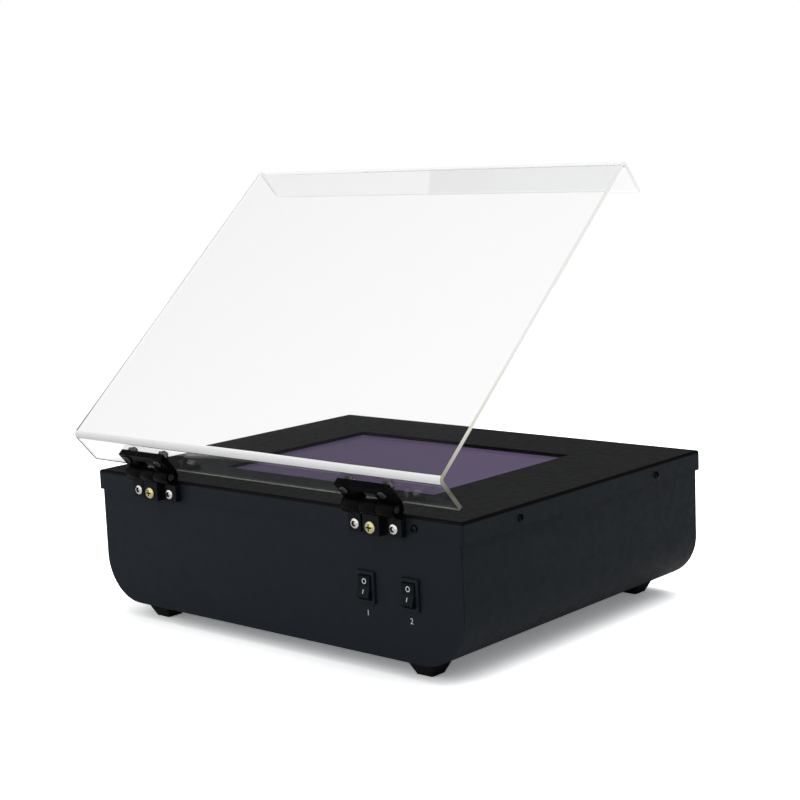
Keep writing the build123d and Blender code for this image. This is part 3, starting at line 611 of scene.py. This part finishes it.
def add_screw(shape, place, kind, settings):
    """One screw: shank, domed head and the recess in it."""
    angles = recess_angles(kind, settings)

    def dome(reach):
        rise = math.sqrt(max(0.0, 1 - (reach / place.radius) ** 2))
        return place.height * (settings.edge + (1 - settings.edge) * rise)

    rings = [
        [(place.shank, -place.length)] * len(angles),
        [(place.shank, 0.0)] * len(angles),
        [(place.radius, 0.0)] * len(angles),
    ]
    for part in DOME_RINGS:
        rings.append([(part * place.radius, dome(part * place.radius))] * len(angles))
    walls = [kind(angle, settings) for angle in angles]
    deep = settings.recess * place.height
    rings.append([(wall, dome(wall)) for wall in walls])
    rings.append([(MOUTH_WIDTH * wall, dome(wall) - MOUTH_DEPTH * deep) for wall in walls])
    rings.append([(FLOOR_WIDTH * wall, place.height - deep) for wall in walls])
    made = []
    for ring in rings:
        made.append([
            shape.verts.new(
                place.seat + place.out * height
                + (place.side * math.cos(angle) + place.over * math.sin(angle)) * reach
            )
            for angle, (reach, height) in zip(angles, ring)
        ])
    for low, high in zip(made, made[1:]):
        # The recess walls get the second material, a dark metal that paints the shade inside the
        # recess
        walled = high is made[-1] or high is made[-2]
        for i in range(len(angles)):
            after = (i + 1) % len(angles)
            face = shape.faces.new((low[i], low[after], high[after], high[i]))
            face.material_index = 1 if walled else 0
    bottom = place.height - TIP_DEPTH * deep
    # A cross recess's floor is painted shade too; a hexagon socket's floor keeps the head's
    # metal
    for ring, height in ((made[0], -place.length), (made[-1], bottom)):
        tip = shape.verts.new(place.seat + place.out * height)
        for i in range(len(angles)):
            face = shape.faces.new((ring[i], ring[(i + 1) % len(angles)], tip))
            face.material_index = 1 if kind is cross and ring is made[-1] else 0


def screw_piece(node, body, slot_name, kind, out_of, recess_shade, settings):
    """Screws in place of one CAD node of screws, in its finish and facing as out_of says."""
    finish = NODES[node].data.materials[0]

    def maker(shape):
        for points in islands(node):
            middle = sum(points, Vector()) / len(points)
            add_screw(shape, ScrewPlace(points, out_of(middle)), kind, settings)

    piece = mesh_piece(node + "_dressed", maker, body, slot_name, finish, recess_shade)
    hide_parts(node)


def lay_on(node, places, lift):
    """Heights of a node's front face at (x, z) places, lifted off it by lift."""
    tree = BVHTree.FromObject(NODES[node], bpy.context.evaluated_depsgraph_get())
    laid = []
    for x, z in places:
        hit = tree.ray_cast(Vector((x, -1.0, z)), Vector((0, 1, 0)))[0]
        if hit is None:
            raise RuntimeError(f"{node} has no face at {x:.4f}, {z:.4f}")
        laid.append(Vector((x, hit.y - lift, z)))
    return laid


class STAGE_OT_build(bpy.types.Operator):
    """Set up the floor, the light, the background and the camera"""

    bl_idname = "light_box.stage"
    bl_label = "Stage"

    def execute(self, context):
        settings = context.scene.light_box_stage
        scene = context.scene
        scene.view_settings.view_transform = "Standard"
        build_floor(settings)
        build_world(scene, settings)
        build_lamps()
        build_camera(scene)
        return {"FINISHED"}


def build_floor(settings):
    """Large plain floor that shows white and keeps the object's shadow."""
    data = bpy.data.meshes.new("floor")
    signs = ((-1, -1), (1, -1), (1, 1), (-1, 1))
    corners = [(x * FLOOR_REACH, y * FLOOR_REACH, 0) for x, y in signs]
    data.from_pydata(corners, [], [(0, 1, 2, 3)])
    floor = bpy.data.objects.new("floor", data)
    bpy.context.scene.collection.objects.link(floor)
    material = bpy.data.materials.new("floor_paper")
    material.use_nodes = True
    nodes = material.node_tree.nodes
    links = material.node_tree.links
    nodes.clear()
    ray = nodes.new("ShaderNodeLightPath")
    mix = nodes.new("ShaderNodeMix")
    mix.data_type = "RGBA"
    mix.inputs[6].default_value = (*settings.floor, 1.0)
    mix.inputs[7].default_value = (settings.floor_seen,) * 3 + (1.0,)
    links.new(ray.outputs["Is Camera Ray"], mix.inputs[0])
    paper = nodes.new("ShaderNodeBsdfDiffuse")
    links.new(mix.outputs[2], paper.inputs["Color"])
    lift = nodes.new("ShaderNodeEmission")
    lift.inputs["Color"].default_value = LIFT_COLOUR
    lifted = nodes.new("ShaderNodeMath")
    lifted.operation = "MULTIPLY"
    links.new(ray.outputs["Is Camera Ray"], lifted.inputs[0])
    lifted.inputs[1].default_value = settings.floor_lift
    links.new(lifted.outputs[0], lift.inputs["Strength"])
    laid = nodes.new("ShaderNodeAddShader")
    links.new(paper.outputs["BSDF"], laid.inputs[0])
    links.new(lift.outputs["Emission"], laid.inputs[1])
    plain = nodes.new("ShaderNodeEmission")
    plain.inputs["Strength"].default_value = settings.behind_lid
    through = nodes.new("ShaderNodeMixShader")
    links.new(ray.outputs["Is Transmission Ray"], through.inputs[0])
    links.new(laid.outputs["Shader"], through.inputs[1])
    links.new(plain.outputs["Emission"], through.inputs[2])
    output = nodes.new("ShaderNodeOutputMaterial")
    links.new(through.outputs["Shader"], output.inputs["Surface"])
    data.materials.append(material)


def build_world(scene, settings):
    """White behind the object, a sky that lights it and a dimmer one for its gloss."""
    world = bpy.data.worlds.new("studio")
    scene.world = world
    world.use_nodes = True
    nodes = world.node_tree.nodes
    links = world.node_tree.links
    nodes.clear()

    def ramp(value, span, to_low, to_high):
        made = nodes.new("ShaderNodeMapRange")
        made.interpolation_type = "SMOOTHSTEP"
        pairs = (("Value", value), ("From Min", span[0]), ("From Max", span[1]))
        for name, number in (*pairs, ("To Min", to_low), ("To Max", to_high)):
            if isinstance(number, bpy.types.NodeSocket):
                links.new(number, made.inputs[name])
            else:
                made.inputs[name].default_value = number
        return made.outputs["Result"]

    def pick(fac, first, second):
        made = nodes.new("ShaderNodeMix")
        made.data_type = "FLOAT"
        for index, value in ((0, fac), (2, first), (3, second)):
            socket = made.inputs[index]
            if isinstance(value, bpy.types.NodeSocket):
                links.new(value, socket)
            else:
                socket.default_value = value
        return made.outputs[0]

    split = nodes.new("ShaderNodeSeparateXYZ")
    links.new(nodes.new("ShaderNodeTexCoord").outputs["Generated"], split.inputs[0])
    along, height = split.outputs["Y"], split.outputs["Z"]
    ray = nodes.new("ShaderNodeLightPath").outputs
    turned = nodes.new("ShaderNodeMath")
    turned.operation = "MULTIPLY_ADD"
    links.new(split.outputs["X"], turned.inputs[0])
    turned.inputs[1].default_value = SKY_SWEEP_TURN
    links.new(along, turned.inputs[2])
    low_sky = ramp(turned.outputs[0], SKY_SWEEP, settings.sky_front, settings.sky_back)
    sky = ramp(height, SKY_RISE, low_sky, settings.sky_top)
    gloss = ramp(along, MIRRORED_SPAN, settings.mirrored_front, settings.mirrored)
    seen = pick(ray["Is Glossy Ray"], sky, gloss)
    behind = pick(ramp(height, THROUGH_RISE, 0.0, 1.0), settings.behind_lid, gloss)
    seen = pick(ray["Is Transmission Ray"], seen, behind)
    seen = pick(ray["Is Camera Ray"], seen, 1.0)
    background = nodes.new("ShaderNodeBackground")
    background.inputs["Color"].default_value = (1.0, 1.0, 1.0, 1.0)
    links.new(seen, background.inputs["Strength"])
    output = nodes.new("ShaderNodeOutputWorld")
    links.new(background.outputs["Background"], output.inputs["Surface"])


def softbox(name, place, aim, side, power):
    """One soft square lamp that points at a spot and shows in no reflection."""
    data = bpy.data.lights.new(name, "AREA")
    data.shape = "SQUARE"
    data.size = side
    data.energy = power
    lamp = bpy.data.objects.new(name, data)
    lamp.location = place
    lamp.visible_glossy = False
    lamp.visible_transmission = False
    lamp.rotation_euler = (Vector(aim) - Vector(place)).to_track_quat("-Z", "Y").to_euler()
    bpy.context.scene.collection.objects.link(lamp)


def build_lamps():
    """Wide soft light from above, with a weaker one from in front."""
    softbox("top_box", *TOP_LAMP)
    softbox("side_box", *SIDE_LAMP)


def build_camera(scene):
    """Camera at the reference picture's viewing point."""
    data = bpy.data.cameras.new("camera")
    data.lens = CAMERA_LENS
    data.sensor_width = SENSOR_WIDTH
    camera = bpy.data.objects.new("camera", data)
    right = Vector(CAMERA_RIGHT).normalized()
    up = Vector(CAMERA_UP).normalized()
    back = right.cross(up).normalized()
    up = back.cross(right)
    turn = Matrix((right, up, back)).transposed().to_4x4()
    camera.matrix_world = Matrix.Translation(CAMERA_PLACE) @ turn
    scene.collection.objects.link(camera)
    scene.camera = camera


class CABINET_OT_dress(bpy.types.Operator):
    """Coat the sheet-metal cabinet and its feet"""

    bl_idname = "light_box.cabinet"
    bl_label = "Cabinet"

    def execute(self, context):
        settings = context.scene.light_box_sheet
        body = powder_coat("body_coat", settings.coat, settings)
        dress(SHEET_NODES, body)
        # Only the top face keeps this colour, which paints a reflection; the skirt gets the
        # body's coat below
        dress(("top_cover",), powder_coat("cover_top_painted_reflection", settings.cover, settings))
        coat_cover_edges(NODES["top_cover"].data, body)
        dress(FOOT_NODES, rubber())
        soften(("front_panel", "rear_panel"), settings.edge)
        return {"FINISHED"}


def coat_cover_edges(data, skirt):
    """Gives the cover's skirt the body's coat, and paints shade on its bends and window edge as
    a near-black coat.
    """
    low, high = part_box("filter_glass")
    data.materials.append(skirt)
    data.materials.append(moulded("painted_shade_edge", (0.003, 0.003, 0.003), 0.6, gloss=0.1))
    skirt_index = len(data.materials) - 2
    painted_shade_index = len(data.materials) - 1
    for face in data.polygons:
        tilt = abs(face.normal.z)
        inside = low.x < face.center.x < high.x and low.y < face.center.y < high.y
        # Bends between top and skirt, and the walls of the window, get the dark coat as painted
        # shade
        if tilt < COVER_FLAT and (inside or tilt > COVER_STEEP):
            face.material_index = painted_shade_index
        elif tilt <= COVER_STEEP:
            face.material_index = skirt_index


class LID_OT_dress(bpy.types.Operator):
    """Give the lid its clear faces and frosted edges"""

    bl_idname = "light_box.lid"
    bl_label = "Lid"

    def execute(self, context):
        settings = context.scene.light_box_lid
        dress(("lid_panel",), clear_sheet(settings))
        data = NODES["lid_panel"].data
        data.materials.append(sawn_edge(settings))
        data.materials.append(stretched_bend("bend_painted_highlight", settings, 0.0))
        data.materials.append(stretched_bend("lip_bend_painted_highlight", settings, 0.9))
        pivot = Vector(JOINTS["lid_hinge"]["pos_m"])
        closed = Matrix.Rotation(-LID_ANGLE, 3, "X")
        places = {vertex.index: closed @ (vertex.co - pivot) for vertex in data.vertices}
        lowest = min(place.z for place in places.values())
        for face in data.polygons:
            normal = closed @ face.normal
            near = places[face.vertices[0]].y < LID_MIDDLE
            least_lean = NEAR_BEND_LEAN if near else LIP_BEND_LEAN
            at_end = all(places[index].z < lowest + END_DEPTH for index in face.vertices)
            if at_end or abs(normal.x) > SIDE_LEAN:
                face.material_index = SAWN_SLOT
            # Bend faces get the painted highlight
            elif min(abs(normal.y), abs(normal.z)) > least_lean:
                face.material_index = NEAR_BEND_SLOT if near else LIP_BEND_SLOT
        return {"FINISHED"}


class FILTER_OT_dress(bpy.types.Operator):
    """Give the filter glass and its gasket their finish"""

    bl_idname = "light_box.filter"
    bl_label = "Filter"

    def execute(self, context):
        dress(("filter_glass",), filter_glass(context.scene.light_box_filter))
        dress(("filter_gasket",), rubber())
        dress(("filter_frame",), spangled_zinc())
        return {"FINISHED"}


class HINGES_OT_dress(bpy.types.Operator):
    """Paint the hinges and finish their pins and washers"""

    bl_idname = "light_box.hinges"
    bl_label = "Hinges"

    def execute(self, context):
        black = hinge_paint("hinge_flap_paint", (0.002, 0.002, 0.0022), 0.04)
        blue = hinge_paint("hinge_base_paint", (0.006, 0.0075, 0.0105), 0.08)
        dress(HINGE_BASES, blue)
        dress(HINGE_FLAPS, black)
        knuckle_low = JOINTS["lid_hinge"]["pos_m"][2] - KNUCKLE_DROP
        for name in HINGE_BASES:
            data = NODES[name].data
            data.materials.append(black)
            for face in data.polygons:
                if face.center.z > knuckle_low:
                    face.material_index = len(data.materials) - 1
        soften((*HINGE_BASES, *HINGE_FLAPS), HINGE_EDGE)
        steel = metal("pin_steel", (0.62, 0.62, 0.61), 0.25)
        dress(("hinge_pin_left", "hinge_pin_right"), steel)
        dress(("hinge_washers",), moulded("washer_acetal", (0.03, 0.03, 0.03), 0.4))
        return {"FINISHED"}


class FITTINGS_OT_dress(bpy.types.Operator):
    """Finish the switches, the inlet, the fuse and everything inside"""

    bl_idname = "light_box.fittings"
    bl_label = "Fittings"

    def execute(self, context):
        body = moulded("switch_plastic", (0.0086, 0.0125, 0.0175), 0.45, gloss=0.14)
        rocker = moulded("rocker_plastic", (0.005, 0.0075, 0.011), 0.3, gloss=0.08)
        inlet = moulded("inlet_plastic", (0.016, 0.016, 0.017), 0.42)
        nickel = metal("black_nickel", (0.06, 0.06, 0.063), 0.14, spread=0.04)
        chrome = metal("chrome_plate", (0.70, 0.70, 0.71), 0.1, spread=0.04)
        brass = metal("plated_brass", (0.72, 0.68, 0.58), 0.22)
        white = moulded("white_plastic", (0.78, 0.78, 0.76), 0.4)
        dress(("lamp_switch_body", "power_switch_body"), body)
        dress(("lamp_rocker", "power_rocker"), rocker)
        dress(("mains_inlet", "fuse_holder", "fuse_cap", "fuse_ring_nut"), inlet)
        dress(("hinge_base_screws",), metal("bright_screw", (0.86, 0.85, 0.83), 0.2))
        dress(("lid_screws",), nickel)
        dress(("lid_nuts",), chrome)
        dress(("torque_screws",), metal("yellow_zinc", (0.78, 0.70, 0.36), 0.26))
        dress(("cover_screws",), metal("black_oxide", (0.02, 0.02, 0.021), 0.35))
        dress(ZINC_NODES, metal("zinc_plate", (0.62, 0.63, 0.64), 0.3))
        dress(("switch_terminals", "inlet_pins"), brass)
        dress(TUBE_NODES, lamp_glass())
        cap = metal("lamp_cap", (0.74, 0.74, 0.73), 0.3)
        dress(("lamp_caps_left", "lamp_caps_right"), cap)
        dress(("lamp_holders_left", "lamp_holders_right", "terminal_block"), white)
        dress(("reflector",), metal("bright_aluminium", (0.88, 0.89, 0.90), 0.12))
        case = metal("ballast_case", (0.72, 0.72, 0.70), 0.38)
        dress(("ballast_front", "ballast_rear"), case)
        dress(("lamp_tray",), NODES["filter_frame"].data.materials[0])
        return {"FINISHED"}


class SCREWS_OT_build(bpy.types.Operator):
    """Make the screws that show, with their sockets and crosses"""

    bl_idname = "light_box.screws"
    bl_label = "Screws"

    def execute(self, context):
        settings = context.scene.light_box_screws
        # Dark metal that paints the shade inside the screw recesses
        recess_shade = metal("recess", (0.03, 0.03, 0.03), 0.5)
        for node, body, slot_name, kind, out_of in (
            ("hinge_base_screws", "base", "stainless", hexagon, forward),
            ("torque_screws", "base", "yellow_zinc", cross, forward),
            ("lid_screws", "lid", "stainless", hexagon, lid_forward),
            ("cover_screws", "base", "stainless", cross, outward),
            ("inlet_screws", "base", "zinc_steel", cross, outward),
        ):
            screw_piece(node, body, slot_name, kind, out_of, recess_shade, settings)
        return {"FINISHED"}


def forward(_middle):
    """Direction of a screw that faces the front."""
    return Vector((0, -1, 0))


def lid_forward(middle):
    """Direction of a screw in the lid's flange, which opens with the lid."""
    return Matrix.Rotation(LID_ANGLE, 3, "X") @ forward(middle)


def outward(middle):
    """Direction of the cabinet's nearest outer side from a place near it."""
    low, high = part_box("top_cover")
    side_gap = min(middle.x - low.x, high.x - middle.x)
    end_gap = min(middle.y - low.y, high.y - middle.y)
    if side_gap < end_gap:
        return Vector((math.copysign(1, middle.x), 0, 0))
    return Vector((0, math.copysign(1, middle.y), 0))


class MARKS_OT_build(bpy.types.Operator):
    """Print the rockers' marks and the numbers under the switches"""

    bl_idname = "light_box.marks"
    bl_label = "Marks"

    def execute(self, context):
        settings = context.scene.light_box_marks
        ink = printed_ink(settings)
        for node, body in SWITCHES.items():
            ring_mark(node, body, settings, ink)
            bar_mark(node, body, settings, ink)
        for number, node in enumerate(sorted(SWITCHES), start=1):
            print_number(number, node, settings, ink)
        return {"FINISHED"}


def ring_mark(node, body, settings, ink):
    """Ring on the upper half of a rocker, for off."""
    low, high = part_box(node)
    x = (low.x + high.x) / 2 + settings.ring_shift
    z = low.z + settings.ring_height * (high.z - low.z)
    narrow = 0.95
    steps = 28
    turns = [2 * math.pi * i / steps for i in range(steps)]
    radii = (settings.ring, settings.ring - settings.stroke)

    def maker(shape):
        rings = []
        for radius in radii:
            spots = [
                (x + narrow * radius * math.cos(turn), z + radius * math.sin(turn))
                for turn in turns
            ]
            laid = lay_on(node, spots, settings.lift)
            rings.append([shape.verts.new(spot) for spot in laid])
        for i in range(steps):
            after = (i + 1) % steps
            shape.faces.new((rings[0][i], rings[0][after], rings[1][after], rings[1][i]))

    mesh_piece(f"{node}_off_mark", maker, body, "white_plastic", ink, smooth=False)


def bar_mark(node, body, settings, ink):
    """Short bar on the lower half of a rocker, for on."""
    low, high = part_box(node)
    x = (low.x + high.x) / 2
    z = low.z + settings.bar_height * (high.z - low.z)
    half = settings.stroke / 2
    rows = 4

    def maker(shape):
        made = []
        for row in range(rows + 1):
            height = z + settings.bar * (row / rows - 0.5)
            spots = [(x - half, height), (x + half, height)]
            laid = lay_on(node, spots, settings.lift)
            made.append([shape.verts.new(spot) for spot in laid])
        for low_row, high_row in zip(made, made[1:]):
            shape.faces.new((*low_row, *reversed(high_row)))

    mesh_piece(f"{node}_on_mark", maker, body, "white_plastic", ink, smooth=False)


def print_number(number, node, settings, ink):
    """Plain number on the front panel under one switch."""
    low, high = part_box(node.replace("rocker", "switch_body"))
    panel_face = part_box("front_panel")[0].y
    data = bpy.data.curves.new(f"switch_number_{number}", "FONT")
    data.body = str(number)
    data.size = settings.number
    data.align_x = "CENTER"
    data.align_y = "TOP"
    data.materials.append(ink)
    piece = bpy.data.objects.new(f"switch_number_{number}", data)
    bpy.context.scene.collection.objects.link(piece)
    place = ((low.x + high.x) / 2, panel_face - NUMBER_GAP, low.z - settings.drop)
    piece.matrix_world = Matrix.Translation(place) @ Matrix.Rotation(math.pi / 2, 4, "X")
    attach(piece, "base")


class SIDEBAR_PT_light_box(bpy.types.Panel):
    """Lists the steps that build and dress the light box"""

    bl_label = "Light Box"
    bl_idname = "SIDEBAR_PT_light_box"
    bl_space_type = "VIEW_3D"
    bl_region_type = "UI"
    bl_category = "Light Box"

    def draw(self, context):
        for operator in OPERATORS:
            self.layout.operator(operator.bl_idname)


GROUPS = {
    "light_box_sheet": SheetFinish,
    "light_box_lid": LidFinish,
    "light_box_filter": FilterFinish,
    "light_box_screws": ScrewSizes,
    "light_box_marks": MarkSizes,
    "light_box_stage": StageSettings,
}
OPERATORS = (
    STAGE_OT_build,
    CABINET_OT_dress,
    LID_OT_dress,
    FILTER_OT_dress,
    HINGES_OT_dress,
    FITTINGS_OT_dress,
    SCREWS_OT_build,
    MARKS_OT_build,
)
CLASSES = (*GROUPS.values(), *OPERATORS, SIDEBAR_PT_light_box)


def register():
    """Registers the classes and hangs the settings on the scene."""
    for item in CLASSES:
        bpy.utils.register_class(item)
    for name, group in GROUPS.items():
        setattr(bpy.types.Scene, name, bpy.props.PointerProperty(type=group))


def unregister():
    """Takes the settings and the classes away again."""
    for name in GROUPS:
        delattr(bpy.types.Scene, name)
    for item in reversed(CLASSES):
        bpy.utils.unregister_class(item)


def main():
    """Builds every piece in order."""
    register()
    bpy.ops.light_box.stage()
    bpy.ops.light_box.cabinet()
    bpy.ops.light_box.lid()
    bpy.ops.light_box.filter()
    bpy.ops.light_box.hinges()
    bpy.ops.light_box.fittings()
    bpy.ops.light_box.screws()
    bpy.ops.light_box.marks()


if __name__ == "__main__":
    main()
